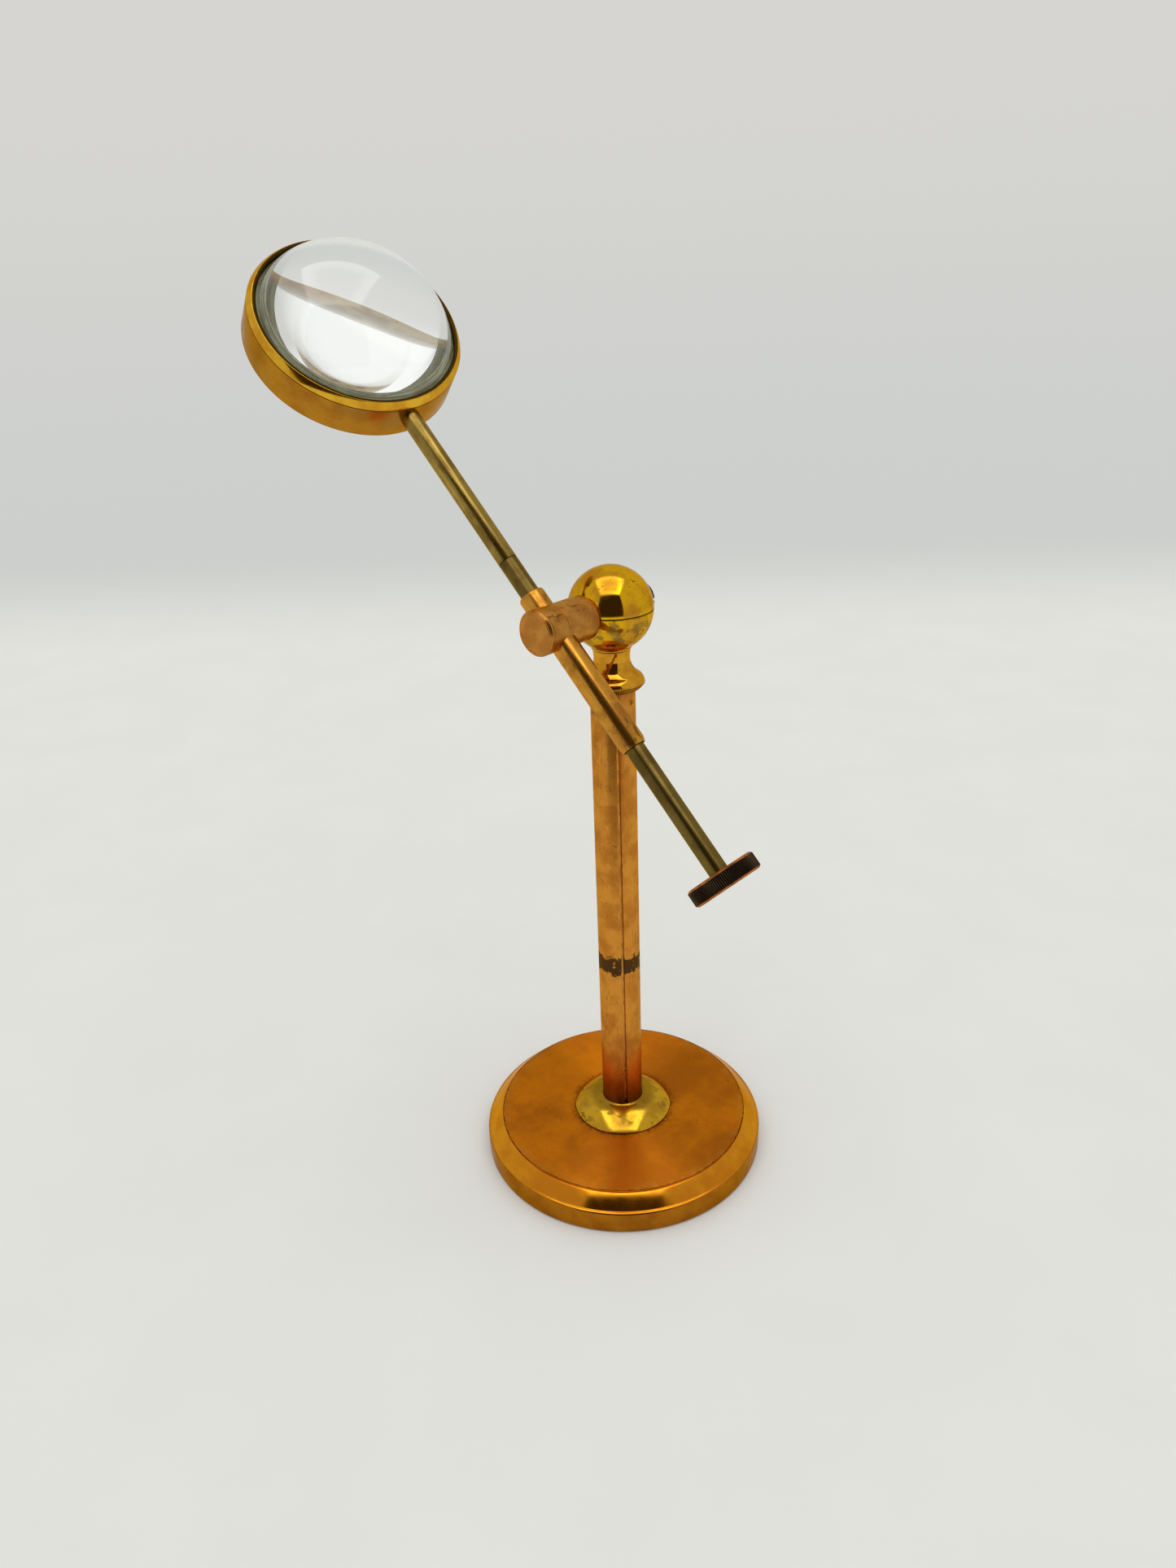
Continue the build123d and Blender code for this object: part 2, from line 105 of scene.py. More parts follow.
# Sizes that the boxes don't give
plateau_radius = 39.5 * MM
skirt_height = 7.4 * MM
relief_inner, relief_outer, relief_depth = 12 * MM, 39 * MM, 1.4 * MM
socket_depth = 8 * MM
tube_wall = 1.0 * MM
slit_width = 0.9 * MM
skirt_round = 0.9 * MM
plateau_step = 0.45 * MM
slit_azimuth = radians(51)
spindle_bore = 3.05 * MM
neck_floor = 7.2 * MM
spigot_bore = 4.05 * MM
mill_height = 1.5 * MM
neck_waist = 5.0 * MM
neck_bead = 5.6 * MM
rim_teeth = 96
facet_distance = 10.7 * MM
shaft_bore = 2.55 * MM
sleeve_bore = 3.05 * MM
knob_teeth = 104
tooth_depth = 0.3 * MM
recess_radius = 2.7 * MM
recess_depth = 0.9 * MM
cell_bore = 26.0 * MM
shelf_radius = 20.6 * MM
shelf_top = 1.9 * MM
shelf_thickness = 1.2 * MM
ground_radius = 19.8 * MM
bezel_thread = 27.4 * MM
bezel_bore = 26.75 * MM
bezel_lip = 26.15 * MM
lens_shoulder = 4.0 * MM


# ---------------------------------------------------------------- shapes
def arc(centre, radius, start, stop, steps):
    """Points on a circle in the profile plane, from start to stop degrees off the axis."""
    turns = [radians(start + (stop - start) * i / steps) for i in range(steps + 1)]
    return [(centre[0] + radius * sin(t), centre[1] + radius * cos(t)) for t in turns]


def bow(a, b, height, steps=8):
    """An arc from a to b that stands this high to the left of its chord; a negative one sinks."""
    a, b = Vector(a), Vector(b)
    half = (b - a).length / 2
    side = Vector((a.y - b.y, b.x - a.x)).normalized()
    radius = (half * half + height * height) / (2 * height)
    centre = (a + b) / 2 + side * (height - radius)
    start = a - centre
    sweep = start.angle_signed(b - centre)
    points = []
    for i in range(steps + 1):
        t = -sweep * i / steps
        turned = Vector((start.x * cos(t) - start.y * sin(t), start.x * sin(t) + start.y * cos(t)))
        points.append(tuple(centre + turned))
    return points


def rounded(points, fillet, closed=True, steps=3):
    """The outline with each real corner rounded; a shallow turn is part of an arc and stays."""
    made = []
    count = len(points)
    for i, point in enumerate(points):
        p = Vector(point[:2])
        before, after = Vector(points[i - 1][:2]), Vector(points[(i + 1) % count][:2])
        ends = not closed and i in (0, count - 1)
        if ends or (p - before).angle(after - p, 0) < radians(20):
            made.append(tuple(p))
            continue
        size = point[2] if len(point) > 2 else fillet
        size = min(size, 0.45 * (p - before).length, 0.45 * (after - p).length)
        a = p + (before - p).normalized() * size
        b = p + (after - p).normalized() * size
        for j in range(steps + 1):
            t = j / steps
            made.append(tuple(a * (1 - t) ** 2 + p * (2 * t * (1 - t)) + b * t ** 2))
    return made


def finish_mesh(piece, sharp=32):
    for face in piece.data.polygons:
        face.use_smooth = True
    piece.data.set_sharp_from_angle(angle=radians(sharp))
    return piece


def turned(name, outline, place, finishes, body, node, segments=192, closed=False, ripple=None,
           slot_of=None):
    """A solid turned round a local frame's Z. The outline is (radius, height) points: from axis
    to axis, or a closed loop. ripple takes metal off a point, and slot_of picks its material."""
    bm = bmesh.new()
    rings = []
    for radius, height in outline:
        if radius < 1e-6:
            rings.append([bm.verts.new((0, 0, height))])
            continue
        ring = []
        for step in range(segments):
            angle = TAU * step / segments
            r = radius - (ripple(radius, height, angle) if ripple else 0)
            ring.append(bm.verts.new((r * cos(angle), r * sin(angle), height)))
        rings.append(ring)
    for low, high in zip(rings, rings[1:] + (rings[:1] if closed else [])):
        for step in range(segments):
            after = (step + 1) % segments
            corners = [low[step % len(low)], low[after % len(low)],
                       high[after % len(high)], high[step % len(high)]]
            corners = list(dict.fromkeys(corners))
            if len(corners) > 2:
                bm.faces.new(corners)
    if slot_of:
        for face in bm.faces:
            spot = face.calc_center_median()
            face.material_index = slot_of(spot.xy.length, spot.z)
    return placed(name, bm, place, finishes, body, node)


def placed(name, bm, place, finishes, body, node):
    """A finished bmesh as a piece that stands for a CAD node and rides on its body."""
    bmesh.ops.recalc_face_normals(bm, faces=bm.faces)
    mesh = bpy.data.meshes.new(name)
    bm.to_mesh(mesh)
    bm.free()
    for finish in finishes:
        mesh.materials.append(finish)
    piece = bpy.data.objects.new(name, mesh)
    bpy.context.scene.collection.objects.link(piece)
    piece.matrix_world = place
    finish_mesh(piece)
    if body:
        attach(piece, body)
        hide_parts(node)
    return piece


def carve(piece, cutter):
    """Takes the cutter's shape out of a piece, and removes the cutter."""
    step = piece.modifiers.new("carve", "BOOLEAN")
    step.operation = "DIFFERENCE"
    step.solver = "EXACT"
    step.object = cutter
    bpy.context.view_layer.update()
    ready = piece.evaluated_get(bpy.context.evaluated_depsgraph_get())
    made = bpy.data.meshes.new_from_object(ready)
    piece.modifiers.clear()
    piece.data = made
    bpy.data.objects.remove(cutter)
    return finish_mesh(piece)


# ---------------------------------------------------------------- materials
def srgb(red, green, blue):
    """A linear colour from display values."""
    def linear(value):
        value /= 255
        return value / 12.92 if value <= 0.04045 else ((value + 0.055) / 1.055) ** 2.4
    return (linear(red), linear(green), linear(blue), 1)


def scaled(colour, share):
    return tuple(c * share for c in colour[:3]) + (1,)


class Nodes:
    """Adds nodes to a tree; each call gives back the new node's output."""

    def __init__(self, tree):
        self.tree = tree
        tree.nodes.clear()

    def add(self, kind, inputs=None, output=0, **settings):
        node = self.tree.nodes.new(kind)
        for key, value in settings.items():
            setattr(node, key, value)
        for key, value in (inputs or {}).items():
            if isinstance(value, bpy.types.NodeSocket):
                self.tree.links.new(value, node.inputs[key])
            else:
                node.inputs[key].default_value = value
        return node.outputs[output]

    def math(self, operation, a, b=0.0, clamp=False):
        return self.add("ShaderNodeMath", {0: a, 1: b}, operation=operation, use_clamp=clamp)

    def ramp(self, value, low, high):
        """0 below low, 1 above high and smooth between; low may be the higher one."""
        inputs = {"Value": value, "From Min": low, "From Max": high}
        if low > high:
            inputs = {"Value": value, "From Min": high, "From Max": low, "To Min": 1.0, "To Max": 0.0}
        return self.add("ShaderNodeMapRange", inputs, interpolation_type="SMOOTHSTEP")

    def noise(self, place, size, detail=2.0, rough=0.5, bend=0.0):
        """Noise with features about this size, in metres."""
        inputs = {"Vector": place, "Scale": 1 / size, "Detail": detail, "Roughness": rough,
                  "Distortion": bend}
        return self.add("ShaderNodeTexNoise", inputs)

    def mix(self, amount, a, b):
        inputs = {"Factor": amount, 6: a, 7: b}
        return self.add("ShaderNodeMix", inputs, output=2, data_type="RGBA")

    def scale(self, vector, factors):
        return self.add("ShaderNodeVectorMath", {0: vector, 1: factors}, operation="MULTIPLY")

    def split(self, vector):
        node = self.tree.nodes.new("ShaderNodeSeparateXYZ")
        self.tree.links.new(vector, node.inputs[0])
        return node.outputs

    def join(self, x, y, z):
        return self.add("ShaderNodeCombineXYZ", {0: x, 1: y, 2: z})

    def both(self, a, b):
        return self.math("MULTIPLY", a, b)

    def either(self, a, b):
        return self.math("MAXIMUM", a, b)

    def between(self, value, low, high, soft):
        return self.both(self.ramp(value, low - soft, low + soft),
                         self.ramp(value, high + soft, high - soft))


class Lathed(Nodes):
    """The coordinates of a turned piece: place, x, y, height, radius, and lathe, which runs
    fast across the tool's marks and slowly round them."""

    def __init__(self, tree):
        super().__init__(tree)
        self.place = self.add("ShaderNodeTexCoord", output=3)
        self.x, self.y, self.height = self.split(self.place)
        flat = self.join(self.x, self.y, 0.0)
        self.radius = self.add("ShaderNodeVectorMath", {0: flat}, output=1, operation="LENGTH")
        round_trip = self.add("ShaderNodeVectorMath", {0: flat}, operation="NORMALIZE")
        self.around = self.split(round_trip)
        self.across = self.math("ADD", self.radius, self.height)
        self.lathe = self.join(self.both(self.around[0], 0.6 * MM), self.both(self.around[1], 0.6 * MM),
                               self.across)
        self.along = self.scale(self.place, (1.0, 1.0, 0.06))


def specks(n, size, share, where=None):
    """Sparse dark dots: 1 on a dot and 0 between. share is how much of the noise is a dot."""
    dots = n.noise(n.place, size, detail=3.0, rough=0.65)
    mask = n.both(n.ramp(dots, 0.745 - share, 0.81 - share), 0.75)
    return n.both(mask, where) if where else mask


def scratches(n, size, width, bend=0.0, seed=0.0):
    """Thin lines of wandering direction, broken into short runs."""
    moved = n.add("ShaderNodeVectorMath", {0: n.place, 1: (seed, seed * 0.7, -seed)}, operation="ADD")
    level = n.noise(moved, size, detail=1.0, bend=bend)
    line = n.ramp(n.math("ABSOLUTE", n.math("SUBTRACT", level, 0.5)), width, 0.0)
    gaps = n.ramp(n.noise(moved, size * 0.45, detail=1.0), 0.55, 0.62)
    return n.both(line, gaps)


def metal(name, clean, dull, rough, marks=None, cloud=9 * MM, lines=0.15, line_size=0.05 * MM,
          line_bump=0.2, grime=None, dots=0.1, dot_size=0.7 * MM, anisotropic=0.0, coat=0.0,
          along=False, metallic=1.0):
    """Old brass under lacquer: clouds between a clean and a dull colour, the tool's fine marks,
    dark dots, and whatever marks() adds as (mask, colour, roughness) rows."""
    material = bpy.data.materials.new(name)
    material.use_nodes = True
    n = Lathed(material.node_tree)
    clouds = n.ramp(n.noise(n.place, cloud, detail=4.0, rough=0.6), 0.38, 0.64)
    colour = n.mix(clouds, clean, dull)
    tool = n.noise(n.along if along else n.lathe, line_size, detail=2.0)
    colour = n.mix(n.both(n.ramp(tool, 0.35, 0.7), lines), colour, scaled(dull, 0.55))
    roughness = n.math("ADD", n.both(tool, 0.12 * lines / 0.15), rough - 0.06 * lines / 0.15)
    roughness = n.math("ADD", roughness, n.both(clouds, 0.08))
    grime = grime or scaled(dull, 0.22)
    rows = [(specks(n, dot_size, dots), grime, 0.5)]
    rows += marks(n) if marks else []
    height = n.both(tool, 0.5)
    for mask, tint, mark_rough in rows:
        colour = n.mix(mask, colour, tint)
        roughness = n.add("ShaderNodeMix", {"Factor": mask, 2: roughness, 3: mark_rough})
        height = n.math("SUBTRACT", height, n.both(mask, 0.6))
    normal = n.add("ShaderNodeBump", {"Height": height, "Strength": line_bump, "Distance": 0.03 * MM})
    inputs = {"Base Color": colour, "Metallic": metallic, "Roughness": roughness, "Normal": normal,
              "Coat Weight": coat, "Coat Roughness": 0.12, "Anisotropic": anisotropic,
              "Specular Tint": (0.9, 0.72, 0.48, 1)}
    if anisotropic:
        inputs["Anisotropic Rotation"] = 0.25
        inputs["Tangent"] = n.add("ShaderNodeTangent", direction_type="RADIAL", axis="Z")
    surface = n.add("ShaderNodeBsdfPrincipled", inputs)
    output(n, surface)
    return material


def output(n, surface):
    end = n.tree.nodes.new("ShaderNodeOutputMaterial")
    n.tree.links.new(surface, end.inputs["Surface"])


ORANGE = srgb(215, 135, 45)
UMBER = srgb(48, 30, 14)
GREEN_GREY = srgb(84, 78, 56)


def plateau_marks(n):
    """Dark smudges and painted shade round the collar, a nicked dark line at the edge, and stray
    scratches.
    """
    ragged = n.noise(n.place, 1.2 * MM, detail=4.0)
    # dark ragged smudges round the collar's foot, with painted shade in the corner there
    smudges_and_shade_at_collar = n.both(n.ramp(n.radius, collar_radius + 2.4 * MM, collar_radius),
                         n.ramp(ragged, 0.3, 0.75))
    shifted = n.math("ADD", n.radius, n.both(n.math("SUBTRACT", ragged, 0.5), 0.8 * MM))
    edge = n.ramp(shifted, plateau_radius - 0.34 * MM, plateau_radius - 0.18 * MM)
    wear = n.both(n.ramp(n.radius, plateau_radius - 3.5 * MM, plateau_radius - 0.5 * MM), 0.5)
    return [
        (n.both(wear, n.ramp(n.noise(n.place, 3 * MM), 0.4, 0.7)), srgb(190, 130, 56), 0.32),
        (n.both(scratches(n, 16 * MM, 0.004, bend=0.3), 0.4), scaled(ORANGE, 0.16), 0.4),
        (n.both(scratches(n, 9 * MM, 0.004, bend=0.2, seed=0.3), 0.35), scaled(ORANGE, 0.13), 0.4),
        # the smudges and the painted shade round the collar
        (n.both(smudges_and_shade_at_collar, 0.75), srgb(92, 52, 20), 0.45),
        (n.both(edge, 0.85), srgb(70, 38, 10), 0.45),
    ]


def collar_marks(n):
    tarnish = n.ramp(n.noise(n.place, 3.5 * MM, detail=5.0, rough=0.65), 0.52, 0.66)
    # painted shade: the top of the collar darker where the pillar rises out of it
    upper = n.ramp(n.height, collar_top - 1.6 * MM, collar_top - 0.6 * MM)
    # painted shade: the collar's foot darker where it sits on the base
    foot = n.ramp(n.height, base_top + 0.75 * MM, base_top + 0.3 * MM)
    return [
        (n.both(tarnish, 0.55), srgb(128, 98, 30), 0.24),
        # the painted shade at the collar's top and at its foot, in this row and the next
        (n.both(upper, 0.6), srgb(120, 88, 24), 0.2),
        (n.both(foot, 0.5), srgb(96, 70, 16), 0.3),
        (n.both(scratches(n, 7 * MM, 0.008, bend=0.8, seed=1.1), 0.7), UMBER, 0.4),
    ]


def pillar_marks(n):
    """The ragged tarnish band low on the tube, the dark foot painted as the base's reflection, patchy
    painted shade under the neck's rim, and rubbed vertical scratches.
    """
    ragged = n.noise(n.place, 2.2 * MM, detail=5.0, rough=0.7)
    shifted = n.math("ADD", n.height, n.both(n.math("SUBTRACT", ragged, 0.5), 11 * MM))
    band = n.both(n.between(shifted, 66.0 * MM, 71.5 * MM, 0.5 * MM), n.ramp(ragged, 0.33, 0.42))
    # painted reflection: the foot of the tube darkened as if it mirrored the base's top
    foot = n.ramp(n.height, 31 * MM, 20 * MM)
    fine = n.noise(n.scale(n.place, (1.0, 1.0, 0.12)), 0.5 * MM, detail=3.0, rough=0.6)
    grease = n.both(n.ramp(fine, 0.56, 0.68), n.ramp(n.noise(n.place, 9 * MM), 0.42, 0.6))
    # patchy painted shade on the tube just under the neck's rim
    shade_under_rim = n.both(n.between(n.height, 150 * MM, 154 * MM, 0.8 * MM),
                       n.ramp(n.noise(n.place, 2.4 * MM, detail=3.0), 0.52, 0.58))
    return [
        # the painted reflection of the base at the tube's foot
        (n.both(foot, 0.7), srgb(104, 58, 12), 0.34),
        (n.both(grease, 0.4), srgb(120, 72, 26), 0.42),
        (n.both(scratches(n, 5 * MM, 0.008, bend=0.3, seed=2.0), 0.6), srgb(70, 40, 16), 0.4),
        # the painted shade under the neck's rim
        (n.both(shade_under_rim, 0.8), srgb(60, 40, 20), 0.45),
        (n.both(band, 0.93), srgb(64, 46, 28), 0.5),
    ]


def ball_marks(n):
    """Grey-green tarnish under the seam, fine scratches, and a dark line in the seam."""
    below = n.ramp(n.y, 0.6 * MM, -0.4 * MM)
    patch = n.both(n.ramp(n.noise(n.place, 4.5 * MM, detail=5.0, rough=0.7), 0.47, 0.58), below)
    seam = n.ramp(n.math("ABSOLUTE", n.y), 0.24 * MM, 0.1 * MM)
    fine = n.both(n.ramp(n.noise(n.place, 0.9 * MM, detail=4.0, rough=0.7), 0.55, 0.62), below)
    return [
        (n.both(scratches(n, 4 * MM, 0.01, bend=0.5, seed=3.0), 0.7), srgb(84, 52, 16), 0.35),
        (n.both(patch, 0.6), GREEN_GREY, 0.32),
        (n.both(fine, 0.35), srgb(96, 70, 30), 0.3),
        (n.both(seam, 0.9), srgb(40, 24, 10), 0.5),
    ]


def neck_marks(n):
    rim_shadow = n.ramp(n.height, neck_bottom + 1.6 * MM, neck_bottom + 1.3 * MM)
    spots = n.ramp(n.noise(n.place, 1.6 * MM, detail=4.0, rough=0.7), 0.6, 0.66)
    line = n.between(n.height, 167.85 * MM, 168.1 * MM, 0.06 * MM)
    return [
        (n.both(rim_shadow, 0.6), srgb(92, 70, 40), 0.4),
        (n.both(spots, 0.5), srgb(96, 60, 18), 0.3),
        (n.both(line, 0.8), UMBER, 0.5),
    ]


def boss_marks(n):
    """Lacquer chipped to dark metal along the upper edge, over a satin copper colour."""
    ragged = n.noise(n.scale(n.place, (1.0, 1.0, 0.6)), 1.3 * MM, detail=5.0, rough=0.72)
    upper = n.between(n.y, 3.4 * MM, 5.6 * MM, 0.7 * MM)
    chips = n.both(n.ramp(ragged, 0.55, 0.6), upper)
    fine = n.ramp(n.noise(n.place, 0.35 * MM, detail=3.0, rough=0.7), 0.6, 0.66)
    return [
        (n.both(fine, 0.3), srgb(110, 66, 30), 0.4),
        (n.both(chips, 0.7), srgb(78, 54, 32), 0.4),
    ]


def sleeve_marks(n):
    ragged = n.noise(n.scale(n.place, (1.0, 1.0, 0.3)), 1.1 * MM, detail=5.0, rough=0.7)
    worn = n.both(n.ramp(ragged, 0.54, 0.6), n.ramp(n.noise(n.place, 7 * MM), 0.45, 0.6))
    return [(n.both(worn, 0.75), srgb(82, 52, 26), 0.42)]


def rod_marks(n):
    """Gold where the sleeve has rubbed the brown away, darker below the ring line."""
    rubbed = n.noise(n.scale(n.place, (1.0, 1.0, 0.05)), 1.5 * MM, detail=4.0, rough=0.7)
    gold = n.both(n.ramp(rubbed, 0.5, 0.66), n.ramp(n.height, 24 * MM, 30 * MM))
    ring = n.between(n.height, 21.0 * MM, 21.4 * MM, 0.08 * MM)
    dark = n.both(n.between(n.height, -80 * MM, 21.2 * MM, 0.3 * MM), 0.5)
    return [
        (dark, srgb(46, 36, 18), 0.28),
        (n.both(gold, 0.55), srgb(208, 172, 84), 0.25),
        (n.both(ring, 0.7), UMBER, 0.4),
    ]


def cell_marks(n):
    corner = n.ramp(n.height, cell_back + 0.7 * MM, cell_back + 0.2 * MM)
    joint_line = n.ramp(n.height, cell_front - 0.35 * MM, cell_front - 0.1 * MM)
    wide = n.ramp(n.noise(n.place, 14 * MM, detail=2.0), 0.45, 0.62)
    return [
        (n.both(wide, 0.4), srgb(170, 132, 66), 0.3),
        (n.both(corner, 0.4), srgb(120, 70, 16), 0.3),
        (n.both(joint_line, 0.8), srgb(74, 44, 10), 0.4),
    ]


def bezel_marks(n):
    inner = n.ramp(n.radius, 27.2 * MM, 27.05 * MM)
    ragged = n.both(n.ramp(n.noise(n.place, 1.3 * MM, detail=4.0, rough=0.7), 0.52, 0.6),
                    n.ramp(n.radius, 27.4 * MM, 26.9 * MM))
    return [
        (n.both(ragged, 0.45), srgb(110, 74, 24), 0.3),
        (n.both(inner, 0.95), srgb(30, 22, 10), 0.5),
    ]


def glass():
    """Old optical glass, faintly green, with a trace of dust on the polish."""
    material = bpy.data.materials.new("lens_glass")
    material.use_nodes = True
    n = Lathed(material.node_tree)
    dust = specks(n, 0.45 * MM, 0.02)
    haze = n.ramp(n.noise(n.place, 12 * MM, detail=3.0), 0.5, 0.8)
    rough = n.math("ADD", n.both(dust, 0.3), n.both(haze, 0.012))
    normal = n.add("ShaderNodeBump", {"Height": dust, "Strength": 0.05, "Distance": 0.01 * MM})
    surface = n.add("ShaderNodeBsdfPrincipled", {
        "Base Color": (0.97, 0.99, 0.975, 1), "Roughness": rough, "IOR": 1.52,
        "Transmission Weight": 1.0, "Normal": normal})
    output(n, surface)
    return material


def ground_glass():
    """The lens's ground rim: grey-green, with the grinder's rings and brown stains."""
    material = bpy.data.materials.new("lens_ground_edge")
    material.use_nodes = True
    n = Lathed(material.node_tree)
    rings = n.noise(n.lathe, 0.5 * MM, detail=4.0, rough=0.75)
    stains = n.ramp(n.noise(n.place, 5 * MM, detail=4.0, rough=0.65), 0.42, 0.66)
    colour = n.mix(n.ramp(rings, 0.38, 0.62), srgb(120, 118, 84), srgb(216, 218, 182))
    colour = n.mix(n.both(stains, 0.5), colour, srgb(132, 112, 76))
    normal = n.add("ShaderNodeBump", {"Height": rings, "Strength": 0.4, "Distance": 0.05 * MM})
    surface = n.add("ShaderNodeBsdfPrincipled", {
        "Base Color": colour, "Roughness": 0.7, "Normal": normal, "IOR": 1.52})
    output(n, surface)
    return material


def make_finishes():
    m = {}
    m["plateau"] = metal("base_top_lacquer", srgb(214, 124, 20), srgb(188, 106, 22), 0.32,
                         plateau_marks, cloud=22 * MM, lines=0.2, line_size=0.07 * MM,
                         anisotropic=1.0, dots=0.07, dot_size=1.1 * MM, grime=srgb(104, 54, 12))
    m["moulding"] = metal("base_moulding_lacquer", srgb(226, 150, 34), srgb(206, 126, 26), 0.1,
                          cloud=14 * MM, lines=0.06, line_bump=0.05, dots=0.05, dot_size=0.9 * MM)
    m["skirt"] = metal("base_skirt_lacquer", srgb(184, 116, 26), srgb(160, 96, 22), 0.2,
                       cloud=10 * MM, lines=0.12, dots=0.085, dot_size=0.8 * MM)
    m["underside"] = metal("base_underside_brass", srgb(150, 116, 58), srgb(108, 82, 42), 0.42,
                           cloud=10 * MM, lines=0.4, line_size=0.2 * MM, dots=0.12)
    m["collar"] = metal("polished_brass", srgb(212, 164, 42), srgb(186, 138, 36), 0.1,
                        collar_marks, cloud=6 * MM, lines=0.05, line_bump=0.05, dots=0.085,
                        dot_size=0.5 * MM)
    m["pillar"] = metal("pillar_lacquer", srgb(220, 148, 56), srgb(194, 122, 44), 0.27,
                        pillar_marks, cloud=7 * MM, lines=0.2, line_size=0.12 * MM, along=True,
                        dots=0.095, dot_size=0.55 * MM, grime=srgb(104, 62, 26))
    m["ball"] = metal("ball_lacquer", srgb(228, 174, 24), srgb(198, 138, 34), 0.08, ball_marks,
                      cloud=6 * MM, lines=0.04, line_bump=0.04, dots=0.075, dot_size=0.7 * MM,
                      grime=srgb(86, 54, 14))
    m["neck"] = metal("neck_lacquer", srgb(220, 158, 42), srgb(198, 132, 34), 0.09, neck_marks,
                      cloud=6 * MM, lines=0.06, line_bump=0.05, dots=0.07, dot_size=0.6 * MM)
    m["boss"] = metal("boss_lacquer", srgb(200, 142, 64), srgb(174, 114, 50), 0.26, boss_marks,
                      cloud=5 * MM, lines=0.2, line_size=0.06 * MM, dots=0.09, dot_size=0.5 * MM,
                      grime=srgb(104, 66, 34))
    m["cap"] = metal("cap_lacquer", srgb(206, 142, 66), srgb(186, 120, 52), 0.26,
                     cloud=5 * MM, lines=0.3, line_size=0.12 * MM, anisotropic=0.7, dots=0.075,
                     dot_size=0.5 * MM)
    m["sleeve"] = metal("sleeve_lacquer", srgb(212, 150, 56), srgb(174, 114, 44), 0.19,
                        sleeve_marks, cloud=6 * MM, lines=0.2, line_size=0.1 * MM, along=True,
                        dots=0.08, dot_size=0.6 * MM)
    m["rod"] = metal("rod_brown_brass", srgb(158, 132, 64), srgb(126, 102, 50), 0.22, rod_marks,
                     cloud=6 * MM, lines=0.2, line_size=0.1 * MM, along=True, dots=0.08,
                     dot_size=0.5 * MM)
    m["knurl"] = metal("knob_knurl_brass", srgb(78, 62, 46), srgb(60, 46, 34), 0.34,
                       cloud=3 * MM, lines=0.2, dots=0.1, dot_size=0.6 * MM)
    m["copper"] = metal("knob_bevel_brass", srgb(196, 118, 62), srgb(150, 88, 46), 0.22,
                        cloud=3 * MM, lines=0.1, dots=0.06, dot_size=0.5 * MM)
    m["mirror"] = metal("knob_face_plate", srgb(240, 240, 236), srgb(222, 222, 216), 0.07,
                        cloud=5 * MM, lines=0.05, line_bump=0.04, dots=0.04, dot_size=0.4 * MM)
    # painted shade: the knob's recess is coloured near-black to stand for the shade in the hole
    m["recess"] = metal("knob_recess_painted_shade", srgb(34, 30, 26), srgb(20, 18, 16), 0.5,
                        cloud=2 * MM, lines=0.2, metallic=0.2)
    m["cell"] = metal("cell_lacquer", srgb(190, 130, 38), srgb(166, 108, 32), 0.17, cell_marks,
                      cloud=12 * MM, lines=0.15, line_size=0.08 * MM, dots=0.085,
                      dot_size=0.65 * MM, grime=srgb(100, 62, 18))
    m["bezel"] = metal("bezel_lacquer", srgb(232, 180, 52), srgb(212, 152, 40), 0.1, bezel_marks,
                       cloud=6 * MM, lines=0.06, line_bump=0.05, dots=0.06, dot_size=0.6 * MM)
    m["cell_inside"] = metal("cell_inside_brass", srgb(190, 166, 122), srgb(148, 124, 84), 0.36,
                             cloud=4 * MM, lines=0.25, dots=0.1)
    m["inner"] = metal("inner_brass", srgb(226, 160, 74), srgb(196, 132, 56), 0.3,
                       cloud=5 * MM, lines=0.25, dots=0.12)
    m["steel"] = metal("dark_steel", srgb(126, 122, 114), srgb(84, 80, 74), 0.32,
                       cloud=3 * MM, lines=0.25, dots=0.14, dot_size=0.4 * MM, grime=srgb(60, 36, 20))
    m["nut"] = metal("nut_dark_brass", srgb(128, 98, 58), srgb(84, 62, 38), 0.3,
                     cloud=3 * MM, lines=0.25, dots=0.13, dot_size=0.5 * MM)
    m["glass"] = glass()
    m["ground"] = ground_glass()
    return m


finishes = make_finishes()


# ---------------------------------------------------------------- stand
def make_base():
    """A turned disc: flat plateau, cove, rounded skirt edge, and a relieved underside."""
    cove_top = (plateau_radius + 0.35 * MM, base_top - plateau_step)
    outline = [(0, socket_depth), (0, relief_depth * 0.4), (4 * MM, 0), (relief_inner, 0),
               (relief_inner, relief_depth), (relief_outer, relief_depth), (relief_outer, 0),
               (base_radius - 0.6 * MM, 0), (base_radius, 0.6 * MM)]
    outline += arc((base_radius - skirt_round, skirt_height - skirt_round), skirt_round, 90, 0, 6)
    outline += bow((base_radius - skirt_round, skirt_height), cove_top, -0.1 * MM, 10)[1:]
    outline += [(plateau_radius, base_top - plateau_step), (plateau_radius, base_top),
                (tube_radius, base_top), (tube_radius, socket_depth), (0, socket_depth)]
    outline = rounded(outline[1:], 0.12 * MM, closed=False)

    def slot_of(radius, height):
        if height > base_top - 0.08 * MM:
            return 0
        if height > skirt_height - 0.35 * MM:
            return 1
        return 2 if radius > base_radius - 1.0 * MM else 3

    turned("base_turned", outline, pillar_axis,
           [finishes[k] for k in ("plateau", "moulding", "skirt", "underside")],
           "stand", "base", segments=256, slot_of=slot_of)


def make_collar():
    flare_foot = (collar_radius - 0.25 * MM, base_top + 0.8 * MM)
    shoulder = (7.5 * MM, collar_top - 0.35 * MM)
    outline = [(tube_radius, base_top), (collar_radius, base_top),
               (collar_radius, base_top + 0.55 * MM)]
    outline += bow(flare_foot, shoulder, -0.72 * MM, 16)
    outline += [(7.15 * MM, collar_top), (tube_radius, collar_top)]
    turned("collar_flared", rounded(outline, 0.12 * MM), pillar_axis, [finishes["collar"]],
           "stand", "pillar_collar", closed=True)


